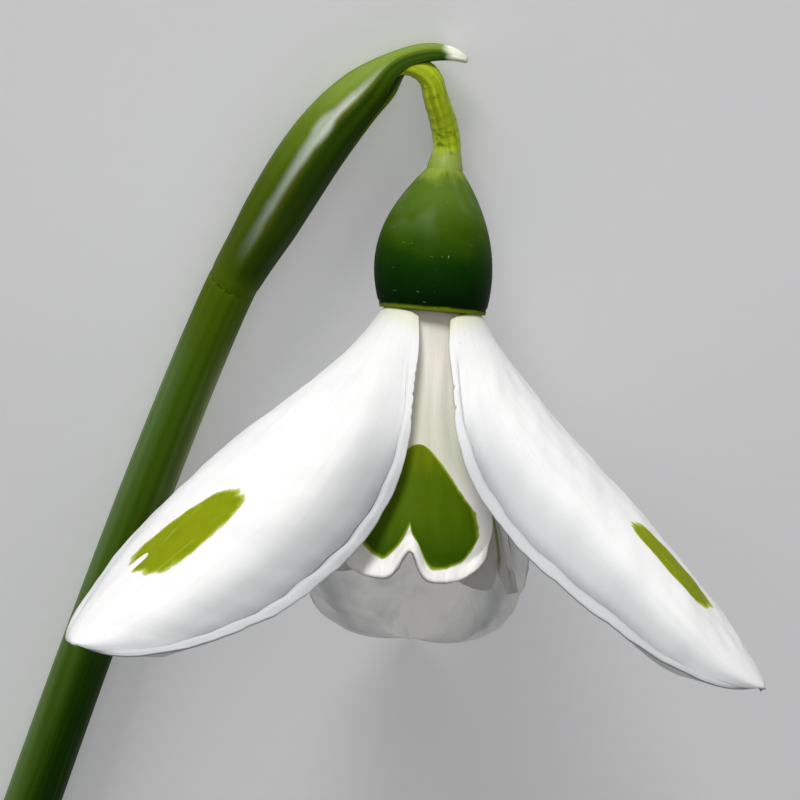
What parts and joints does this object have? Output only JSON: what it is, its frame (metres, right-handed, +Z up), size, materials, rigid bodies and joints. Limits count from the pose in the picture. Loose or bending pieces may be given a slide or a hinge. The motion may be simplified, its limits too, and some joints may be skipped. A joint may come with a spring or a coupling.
{
  "type": "snowdrop flower",
  "caption": "Cut snowdrop lying on its back: scape, sheathing spathe, arched pedicel, green ovary, spread outer tepals with green marks and a notched inner cup.",
  "frame": {"origin": "middle of the footprint, on the surface that the flower lies on", "axes": "+Y from the cut end of the scape towards the spathe, +Z up from the surface, +X towards the side where the flower head is"},
  "size_m": [0.0488, 0.0712, 0.0294],
  "materials": {
    "scape_green": "waxy grey-green, faintly striped",
    "spathe_green": "satin green keels joined by a pale membrane",
    "pedicel_green": "satin yellow-green with fine cross wrinkles",
    "ovary_green": "smooth waxy dark green",
    "outer_tepal_white": "soft white with fine lengthwise veins and a green mark near the tip",
    "inner_tepal_white": "soft white with a green inverted heart at the notch",
    "filament_white": "matt greenish white",
    "anther_orange": "matt orange-yellow",
    "style_white": "matt greenish white"
  },
  "bodies": {
    "root": {"scape": "scape_green", "spathe": "spathe_green", "pedicel": "pedicel_green", "ovary": "ovary_green", "outer_tepal_left": "outer_tepal_white", "outer_tepal_right": "outer_tepal_white", "outer_tepal_back": "outer_tepal_white", "inner_tepal_front": "inner_tepal_white", "inner_tepal_left": "inner_tepal_white", "inner_tepal_right": "inner_tepal_white", "filament_1": "filament_white", "filament_2": "filament_white", "filament_3": "filament_white", "filament_4": "filament_white", "filament_5": "filament_white", "filament_6": "filament_white", "anther_1": "anther_orange", "anther_2": "anther_orange", "anther_3": "anther_orange", "anther_4": "anther_orange", "anther_5": "anther_orange", "anther_6": "anther_orange", "style": "style_white"}
  },
  "joints": []
}
